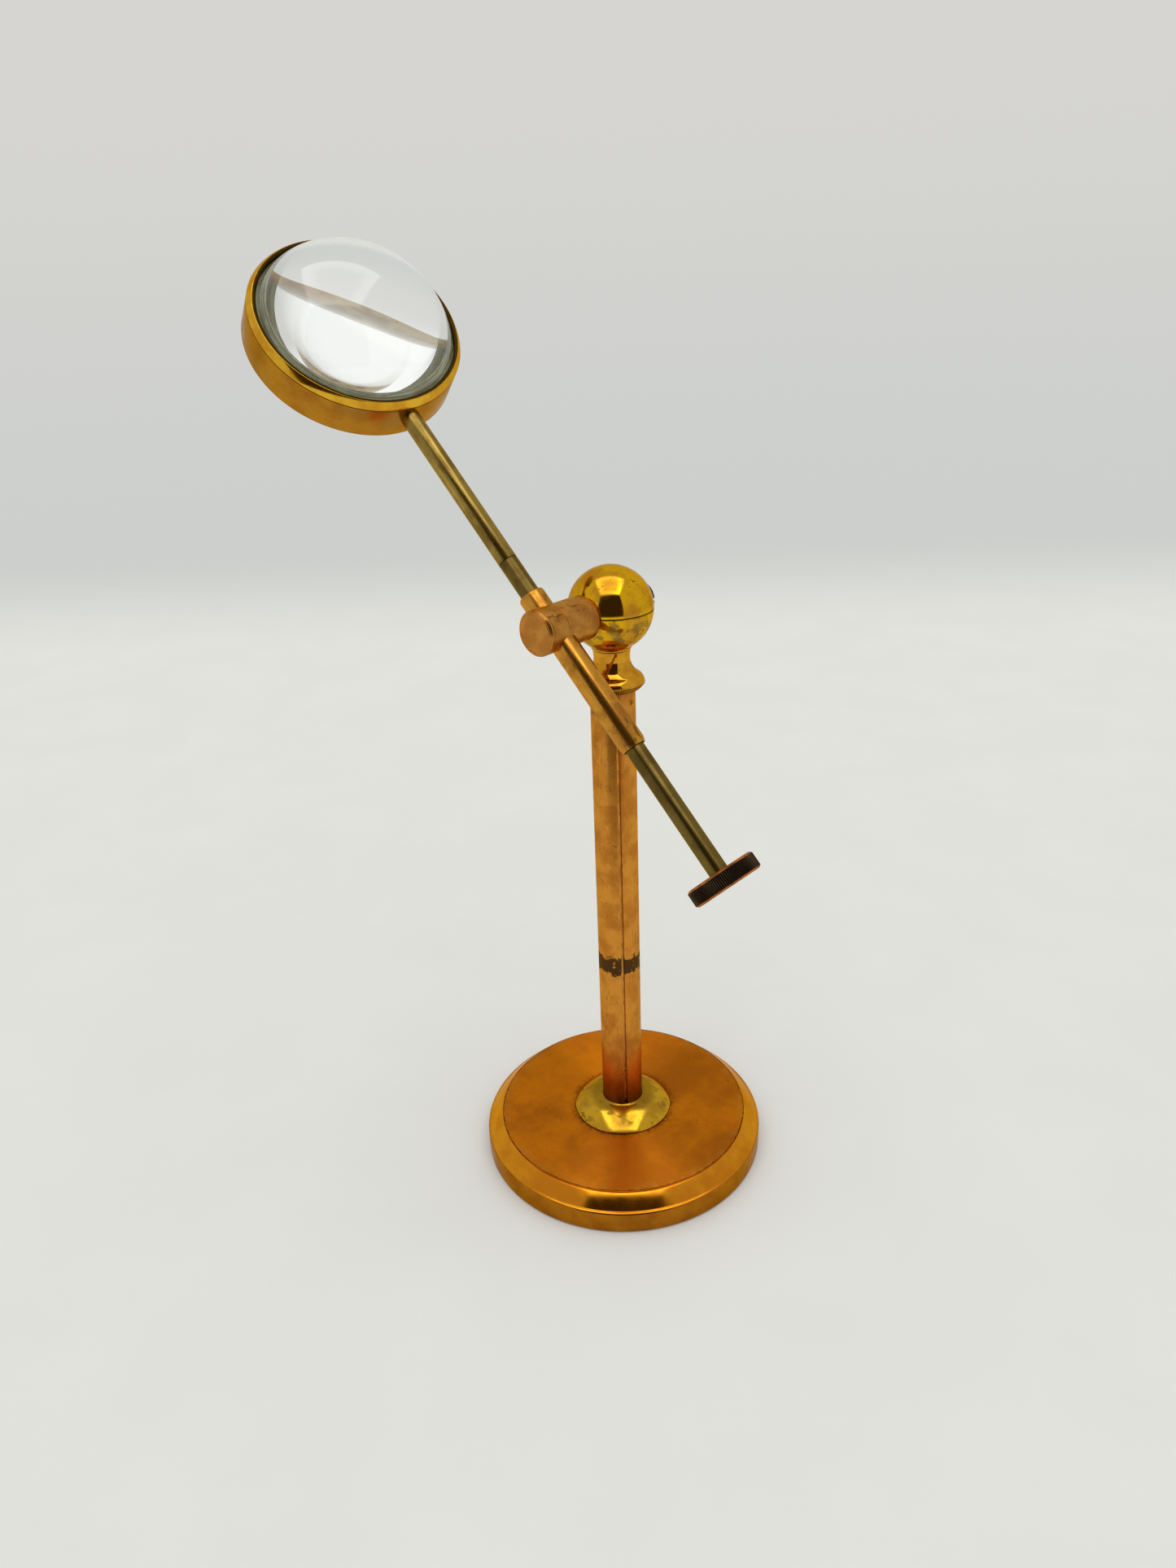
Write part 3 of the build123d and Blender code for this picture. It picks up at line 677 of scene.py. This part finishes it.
def make_pillar_tube():
    """A tube whose wall is slit down one side, with softened edges at the top."""
    inner = tube_radius - tube_wall
    soft = 0.12 * MM
    middle = slit_azimuth - pi / 2
    segments = 160
    rows = [(tube_bottom, 0.0), (tube_top - soft, 0.0), (tube_top - soft * 0.3, soft * 0.3),
            (tube_top, soft)]
    bm = bmesh.new()
    loops = []
    for height, inset in rows:
        loop = []
        for radius, side in ((tube_radius - inset, 1), (inner + inset * 0.5, -1)):
            half = slit_width / 2 / radius
            span = TAU - 2 * half
            for step in range(segments + 1):
                share = step / segments if side > 0 else 1 - step / segments
                angle = middle + half + span * share
                loop.append(bm.verts.new((radius * cos(angle), radius * sin(angle), height)))
        loops.append(loop)
    count = len(loops[0])
    for low, high in zip(loops, loops[1:]):
        for i in range(count):
            j = (i + 1) % count
            bm.faces.new((low[i], low[j], high[j], high[i]))
    for loop in (loops[0], loops[-1]):
        for i in range(segments):
            bm.faces.new((loop[i], loop[i + 1], loop[count - 2 - i], loop[count - 1 - i]))
    placed("pillar_slit_tube", bm, pillar_axis, [finishes["pillar"]], "stand", "pillar_tube")


# ---------------------------------------------------------------- head
def make_neck():
    """The bell with its milled rim, narrow waist and bead under the ball."""
    ball_z = ball_centre.z
    cup_gap = 0.02 * MM
    cup = ball_radius + cup_gap
    cup_edge = ball_z - sqrt(cup ** 2 - neck_bead ** 2)
    mill_top = neck_bottom + mill_height
    bell = (7.4 * MM, mill_top + 2.25 * MM)
    waist = (neck_waist, ball_z - 13.8 * MM)
    outline = [(spindle_bore, neck_bottom + neck_floor), (spindle_bore, neck_bottom),
               (8.05 * MM, neck_bottom), (rim_radius, neck_bottom + 1.1 * MM)]
    outline += bow((rim_radius, mill_top), bell, -0.35 * MM, 8)
    outline += bow(bell, waist, 0.55 * MM, 10)[1:]
    outline += bow(waist, (5.32 * MM, ball_z - 11.0 * MM), 0.08 * MM, 5)[1:]
    outline += bow((5.42 * MM, ball_z - 10.98 * MM), (neck_bead, cup_edge), -0.12 * MM, 5)
    outline += [(spigot_bore, ball_z - sqrt(cup ** 2 - spigot_bore ** 2)),
                (spigot_bore, neck_bottom + neck_floor)]

    def milling(radius, height, angle):
        if height > mill_top + 0.01 * MM or radius < 8 * MM:
            return 0
        phase = (angle * rim_teeth / TAU) % 1
        return 0.4 * MM * min(1, max(0, 2.4 * abs(phase - 0.5) - 0.2))

    turned("neck_bell", rounded(outline, 0.08 * MM), pillar_axis, [finishes["neck"]], "head",
           "neck", segments=rim_teeth * 6, closed=True, ripple=milling)


def make_ball_half(name, node, sign):
    """Half of the bored ball with its two facets: turned round the shaft, then cut at the seam."""
    facet_edge = sqrt(ball_radius ** 2 - facet_distance ** 2)
    start = atan2(facet_edge, facet_distance) * 180 / pi
    outline = [(shaft_bore, facet_distance)] + arc((0, 0), ball_radius, start, 180 - start, 72)
    outline += [(shaft_bore, -facet_distance)]
    outline = rounded(outline, 0.1 * MM)
    bm = bmesh.new()
    rings = [[bm.verts.new((r * cos(TAU * s / 192), r * sin(TAU * s / 192), h)) for s in range(192)]
             for r, h in outline]
    for low, high in zip(rings, rings[1:] + rings[:1]):
        for s in range(192):
            bm.faces.new((low[s], low[(s + 1) % 192], high[(s + 1) % 192], high[s]))
    cut = bmesh.ops.bisect_plane(bm, geom=bm.verts[:] + bm.edges[:] + bm.faces[:], dist=1e-7,
                                 plane_co=(0, 0, 0), plane_no=(0, -sign, 0), clear_outer=True)
    open_edges = [g for g in cut["geom_cut"] if isinstance(g, bmesh.types.BMEdge)]
    filled = bmesh.ops.holes_fill(bm, edges=open_edges, sides=0)["faces"]
    rim = {e for f in filled for e in f.edges
           if all(v.co.length > ball_radius - 0.02 * MM for v in e.verts)}
    bmesh.ops.bevel(bm, geom=list(rim), offset=0.2 * MM, segments=2, profile=0.5,
                    affect="EDGES")
    placed(name, bm, shaft_axis, [finishes["ball"]], "head", node)


# ---------------------------------------------------------------- arm
def make_boss():
    """The two halves of the boss, hollowed for the sleeve, and the cap on the outer one."""
    soft = 0.16 * MM
    halves = (("boss_inner_half", "boss_inner", boss_near, boss_split),
              ("boss_outer_half", "boss_outer", boss_split, boss_end))
    for name, node, near, far in halves:
        outline = rounded([(0, near), (boss_radius, near), (boss_radius, far), (0, far)], soft,
                          closed=False)
        piece = turned(name, outline, shaft_axis, [finishes["boss"]], "arm", node, segments=160)
        gap = 0.04 * MM
        cutter = turned("sleeve_cutter", [(0, -12 * MM), (sleeve_radius + gap, -12 * MM),
                                          (sleeve_radius + gap, 12 * MM), (0, 12 * MM)],
                        rod_axis, [finishes["boss"]], None, None, segments=96)
        carve(piece, cutter)
    outline = [(0, boss_end), (boss_radius - 0.1 * MM, boss_end), (boss_radius, boss_end + 0.12 * MM),
               (boss_radius, cap_end - 0.62 * MM), (boss_radius - 0.55 * MM, cap_end - 0.08 * MM),
               (boss_radius - 0.8 * MM, cap_end - 0.14 * MM), (boss_radius - 0.95 * MM, cap_end),
               (0.5 * MM, cap_end), (0, cap_end - 0.3 * MM)]
    turned("boss_cap_disc", rounded(outline, 0.06 * MM, closed=False), shaft_axis,
           [finishes["cap"]], "arm", "boss_cap", segments=160)


def make_sleeve():
    outline = [(sleeve_bore, sleeve_low), (sleeve_radius - 0.35 * MM, sleeve_low),
               (sleeve_radius, sleeve_low + 1.4 * MM), (sleeve_radius, sleeve_high - 0.5 * MM),
               (sleeve_radius - 0.25 * MM, sleeve_high), (sleeve_bore, sleeve_high)]
    turned("sleeve_tube", rounded(outline, 0.08 * MM), rod_axis, [finishes["sleeve"]], "arm",
           "sleeve", segments=128, closed=True)


# ---------------------------------------------------------------- rod, knob and lens
def make_rod():
    ring = 21.2 * MM
    outline = [(0, knob_near), (rod_radius, knob_near), (rod_radius, ring - 0.1 * MM),
               (rod_radius - 0.04 * MM, ring), (rod_radius, ring + 0.1 * MM),
               (rod_radius, rod_high), (0, rod_high)]
    turned("rod_bar", outline, rod_axis, [finishes["rod"]], "lens_rod", "rod", segments=96)


def make_knob():
    """A straight-milled disc with bright bevels, a mirror face outside and a recess painted near-black
    as its shade.
    """
    bevel = 0.55 * MM
    outline = [(0, knob_far + recess_depth), (recess_radius, knob_far + recess_depth),
               (recess_radius, knob_far), (knob_radius - 0.75 * MM, knob_far),
               (knob_radius, knob_far + bevel), (knob_radius, knob_near - bevel),
               (knob_radius - 0.7 * MM, knob_near), (0, knob_near)]

    def milling(radius, height, angle):
        if radius < knob_radius - 0.5 * MM:
            return 0
        phase = (angle * knob_teeth / TAU) % 1
        return tooth_depth * min(1, max(0, 2.4 * abs(phase - 0.5) - 0.2))

    def slot_of(radius, height):
        if radius < recess_radius + 0.05 * MM and height < knob_near - 1 * MM:
            return 3
        if height < knob_far + 0.06 * MM:
            return 2
        return 1 if not knob_far + bevel < height < knob_near - bevel else 0

    turned("knob_milled", rounded(outline, 0.09 * MM, closed=False), rod_axis,
           [finishes[k] for k in ("knurl", "copper", "mirror", "recess")], "lens_rod", "knob",
           segments=knob_teeth * 6, ripple=milling, slot_of=slot_of)


def make_lens_cell():
    """A short tube with an inner shelf under the lens and a thread above it for the bezel."""
    shelf_bottom = shelf_top - shelf_thickness
    outline = [(cell_bore, cell_back), (cell_radius, cell_back, 0.55 * MM),
               (cell_radius, cell_front), (bezel_thread, cell_front), (bezel_thread, shelf_top),
               (shelf_radius, shelf_top), (shelf_radius, shelf_bottom), (cell_bore, shelf_bottom)]

    def slot_of(radius, height):
        return 1 if radius < cell_bore + 0.05 * MM else 0

    turned("cell_turned", rounded(outline, 0.12 * MM), lens_axis,
           [finishes["cell"], finishes["cell_inside"]], "lens_rod", "lens_cell", segments=256,
           closed=True, slot_of=slot_of)


def make_bezel():
    """A threaded ring that slopes in from the cell's wall to a narrow lip over the lens."""
    foot = (cell_radius, cell_front + 0.2 * MM)
    head = (cell_radius - 1.2 * MM, bezel_top)
    outline = [(bezel_bore, shelf_top), (bezel_thread, shelf_top), (bezel_thread, cell_front),
               (cell_radius, cell_front + 0.06 * MM)]
    outline += bow(foot, head, -0.08 * MM, 8)
    outline += [(bezel_lip + 0.4 * MM, bezel_top), (bezel_lip, bezel_top - 0.3 * MM),
                (bezel_lip, bezel_top - 0.45 * MM), (bezel_bore, bezel_top - 1.05 * MM)]
    turned("bezel_bead", rounded(outline, 0.1 * MM), lens_axis, [finishes["bezel"]], "lens_rod",
           "bezel_ring", segments=256, closed=True)


def make_lens():
    """Plano-convex, with a deep dome. Its edge and the rim of its flat back are ground."""
    rise = lens_apex - lens_shoulder
    dome_radius = (lens_radius ** 2 + rise ** 2) / (2 * rise)
    reach_angle = atan2(lens_radius, dome_radius - rise) * 180 / pi
    outline = [(0, lens_back), (ground_radius, lens_back), (lens_radius - 0.2 * MM, lens_back),
               (lens_radius, lens_back + 0.2 * MM)]
    outline += arc((0, lens_apex - dome_radius), dome_radius, reach_angle, 0, 64)

    def slot_of(radius, height):
        return 1 if radius > ground_radius and height < lens_shoulder else 0

    turned("lens_bulls_eye", outline, lens_axis, [finishes["glass"], finishes["ground"]],
           "lens_rod", "lens", segments=256, slot_of=slot_of)


def dress_cad_nodes():
    """The pieces whose CAD shape is right as it is get their finish."""
    kept = {
        "inner": ("foot_plug", "inner_tube", "riser_plug", "thrust_washer", "spring_liner"),
        "steel": ("spindle_washer", "spindle_screw", "ball_pins", "cross_shaft", "boss_screws",
                  "spring_washer"),
        "nut": ("draw_nut",),
    }
    for finish, nodes in kept.items():
        for node in nodes:
            mesh = frame["nodes"][node].data
            mesh.materials.clear()
            mesh.materials.append(finishes[finish])


make_base()
make_collar()
make_pillar_tube()
make_neck()
make_ball_half("ball_upper_half", "ball_upper", 1)
make_ball_half("ball_lower_half", "ball_lower", -1)
make_boss()
make_sleeve()
make_rod()
make_knob()
make_lens_cell()
make_bezel()
make_lens()
dress_cad_nodes()


# ---------------------------------------------------------------- camera, floor and light
view_azimuth = radians(41.13)
camera_distance = 295.70 * MM
camera_height = 262.96 * MM
camera_pitch = radians(24.644)
camera_yaw = radians(1.498)
camera_roll = radians(-2.062)
focal_length = 26.0
sensor_width = 36.0
floor_radius = 3.0


def make_camera():
    data = bpy.data.cameras.new("camera")
    data.lens = focal_length
    data.sensor_width = sensor_width
    data.clip_start = 0.01
    data.clip_end = 50
    camera = bpy.data.objects.new("camera", data)
    bpy.context.scene.collection.objects.link(camera)
    spot = Vector((camera_distance * sin(view_azimuth), -camera_distance * cos(view_azimuth),
                   camera_height))
    turn = (Matrix.Rotation(view_azimuth + camera_yaw, 4, "Z")
            @ Matrix.Rotation(pi / 2 - camera_pitch, 4, "X")
            @ Matrix.Rotation(camera_roll, 4, "Z"))
    camera.matrix_world = Matrix.Translation(spot) @ turn
    bpy.context.scene.camera = camera


def make_floor():
    """A pale sheet that sweeps away into the background behind the object."""
    bm = bmesh.new()
    bmesh.ops.create_circle(bm, cap_ends=True, segments=64, radius=floor_radius)
    mesh = bpy.data.meshes.new("floor")
    bm.to_mesh(mesh)
    bm.free()
    floor = bpy.data.objects.new("floor", mesh)
    bpy.context.scene.collection.objects.link(floor)
    material = bpy.data.materials.new("floor_paper")
    material.use_nodes = True
    n = Nodes(material.node_tree)
    place = n.add("ShaderNodeTexCoord", output=3)
    away = n.add("ShaderNodeVectorMath", {0: place, 1: (-sin(view_azimuth), cos(view_azimuth), 0)},
                 output=1, operation="DOT_PRODUCT")
    distance = n.add("ShaderNodeVectorMath", {0: place}, output=1, operation="LENGTH")
    fade = n.either(n.ramp(away, 0.52, 0.86), n.ramp(distance, 0.9, 1.5))
    paper = n.noise(place, 0.05, detail=3.0)
    colour = n.mix(n.ramp(paper, 0.3, 0.7), (0.735, 0.745, 0.72, 1), (0.75, 0.76, 0.735, 1))
    sheet = n.add("ShaderNodeBsdfDiffuse", {"Color": colour})
    clear = n.add("ShaderNodeBsdfTransparent")
    output(n, n.add("ShaderNodeMixShader", {0: fade, 1: sheet, 2: clear}))
    mesh.materials.append(material)


def make_world():
    """A soft light tent: pale walls, a bright panel overhead and a dark opening at the front.
    Only mirror reflections see the opening. Light that comes through the glass sees a dimmer
    panel and walls that brighten upward."""
    world = bpy.data.worlds.new("light_tent")
    bpy.context.scene.world = world
    world.use_nodes = True
    n = Nodes(world.node_tree)
    direction = n.add("ShaderNodeTexCoord", output=0)
    turned_back = n.add("ShaderNodeVectorRotate", {"Vector": direction, "Angle": -view_azimuth},
                        rotation_type="Z_AXIS")
    x, y, z = n.split(turned_back)
    above = n.math("MAXIMUM", z, 0.001)
    ceiling_x = n.math("ABSOLUTE", n.math("DIVIDE", x, above))
    ceiling_y = n.math("ABSOLUTE", n.math("ADD", n.math("DIVIDE", y, above), 0.25))
    half_x, half_y = 0.53, 0.52
    soft = 0.03
    panel = n.both(n.ramp(ceiling_x, half_x + soft, half_x - soft),
                   n.ramp(ceiling_y, half_y + soft, half_y - soft))
    panel = n.both(panel, n.math("GREATER_THAN", z, 0.0))
    rim = n.either(n.ramp(ceiling_x, half_x - 0.3, half_x - 0.1),
                   n.ramp(ceiling_y, half_y - 0.3, half_y - 0.1))
    front = n.math("MAXIMUM", n.math("MULTIPLY", y, -1.0), 0.001)
    opening = n.both(n.ramp(n.math("ABSOLUTE", n.math("DIVIDE", x, front)), 0.70, 0.64),
                     n.between(n.math("DIVIDE", z, front), tan(radians(-15)), tan(radians(50)), 0.03))
    opening = n.both(opening, n.math("LESS_THAN", y, 0.0))
    wall = n.mix(n.ramp(z, -0.2, 0.16), srgb(205, 207, 204), srgb(214, 213, 210))
    lamp = n.mix(rim, (1.5, 1.5, 1.48, 1), (2.6, 2.6, 2.55, 1))
    paths = n.tree.nodes.new("ShaderNodeLightPath")
    through_glass = paths.outputs["Is Transmission Ray"]
    lamp = n.mix(through_glass, lamp, (1.02, 1.02, 1.0, 1))
    upper = n.mix(n.ramp(z, 0.3, 0.8), wall, (0.97, 0.98, 0.96, 1))
    lit = n.mix(panel, n.mix(through_glass, wall, upper), lamp)
    mirrored = n.both(paths.outputs["Is Glossy Ray"], n.math("SUBTRACT", 1.0, through_glass))
    seen = n.mix(n.both(opening, mirrored), lit, (0.035, 0.022, 0.014, 1))
    shown = n.mix(paths.outputs["Is Camera Ray"], seen, wall)
    background = n.add("ShaderNodeBackground", {"Color": shown, "Strength": 1.0})
    end = n.tree.nodes.new("ShaderNodeOutputWorld")
    n.tree.links.new(background, end.inputs["Surface"])


make_camera()
make_floor()
make_world()
bpy.context.scene.view_settings.view_transform = "Standard"
